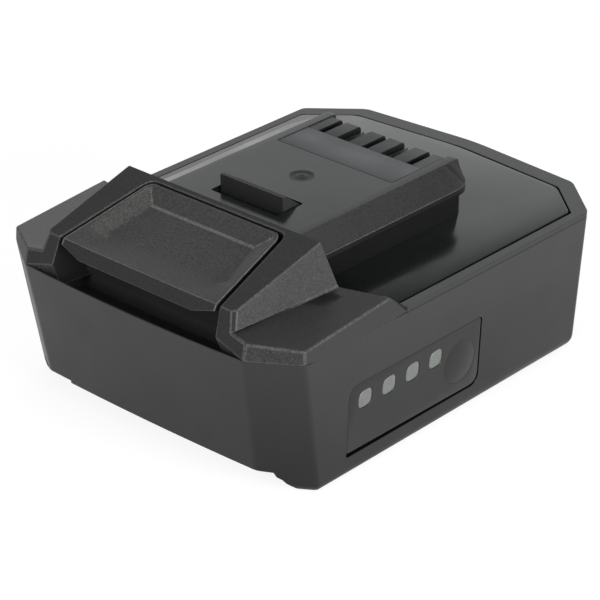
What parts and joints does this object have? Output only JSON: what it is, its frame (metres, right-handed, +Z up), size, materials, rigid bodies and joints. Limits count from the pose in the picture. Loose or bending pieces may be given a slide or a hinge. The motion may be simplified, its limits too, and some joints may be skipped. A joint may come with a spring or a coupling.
{
  "type": "power tool battery pack",
  "caption": "Slide-on battery pack for a cordless power tool: a boxy tub with a flanged rail, a sprung latch with a release button, and a charge gauge on one side.",
  "frame": {"origin": "centre of the pack's box, on the surface that its feet stand on", "axes": "+Z up out of the rail, -Y towards the release button, +X towards the charge gauge"},
  "size_m": [0.083, 0.1106, 0.0475],
  "materials": {
    "tub_plastic": "satin charcoal moulding",
    "cover_plastic": "satin charcoal moulding with fine spark texture on the hood and rail",
    "button_plastic": "black moulding with fine spark texture",
    "terminal_plastic": "bluish grey glass-filled moulding",
    "gauge_plastic": "satin charcoal moulding",
    "window_plastic": "milky translucent",
    "screw_steel": "dark zinc",
    "spring_steel": "drawn wire",
    "contact_metal": "plated copper alloy",
    "cell_wrap": "shrink film",
    "holder_plastic": "natural moulding",
    "nickel_strip": "rolled nickel",
    "insulating_paper": "pale fibre sheet",
    "board_laminate": "green solder mask",
    "chip_plastic": "moulded package",
    "capacitor_ceramic": "fired ceramic",
    "light_chip": "clear resin",
    "ribbon_film": "amber film",
    "sensor_resin": "dipped resin"
  },
  "bodies": {
    "housing": {"lower_housing": "tub_plastic", "upper_housing": "cover_plastic", "housing_screws": "screw_steel", "terminal_block": "terminal_plastic", "latch_spring_left": "spring_steel", "latch_spring_right": "spring_steel", "cell_1": "cell_wrap", "cell_2": "cell_wrap", "cell_3": "cell_wrap", "cell_4": "cell_wrap", "cell_5": "cell_wrap", "cell_holder_left": "holder_plastic", "cell_holder_right": "holder_plastic", "link_strip_1": "nickel_strip", "link_strip_2": "nickel_strip", "link_strip_3": "nickel_strip", "link_strip_4": "nickel_strip", "negative_tab": "nickel_strip", "positive_tab": "nickel_strip", "insulator_left": "insulating_paper", "insulator_right": "insulating_paper", "temperature_sensor": "sensor_resin", "circuit_board": "board_laminate", "power_transistors": "chip_plastic", "controller_chip": "chip_plastic", "board_capacitors": "capacitor_ceramic", "positive_contact": "contact_metal", "negative_contact": "contact_metal", "signal_contacts": "contact_metal", "gauge_panel": "gauge_plastic", "gauge_windows": "window_plastic", "gauge_board": "board_laminate", "gauge_leds": "light_chip", "gauge_switch": "nickel_strip", "gauge_ribbon": "ribbon_film"},
    "latch": {"release_button": "button_plastic", "latch_hook": "cover_plastic", "latch_screws": "screw_steel"},
    "gauge_key": {"gauge_button": "gauge_plastic"}
  },
  "joints": [
    {"name": "latch_slide", "type": "slide", "parent": "housing", "child": "latch", "axis": [0, 0, -1], "range_m": [0, 0.0036], "stiffness_N_per_m": 1500, "springref_m": -0.003, "deforming": ["latch_spring_left", "latch_spring_right"]},
    {"name": "gauge_press", "type": "slide", "parent": "housing", "child": "gauge_key", "axis": [-0.999, 0, 0.0447], "range_m": [0, 0.0005], "stiffness_N_per_m": 3000, "springref_m": -0.0003}
  ]
}
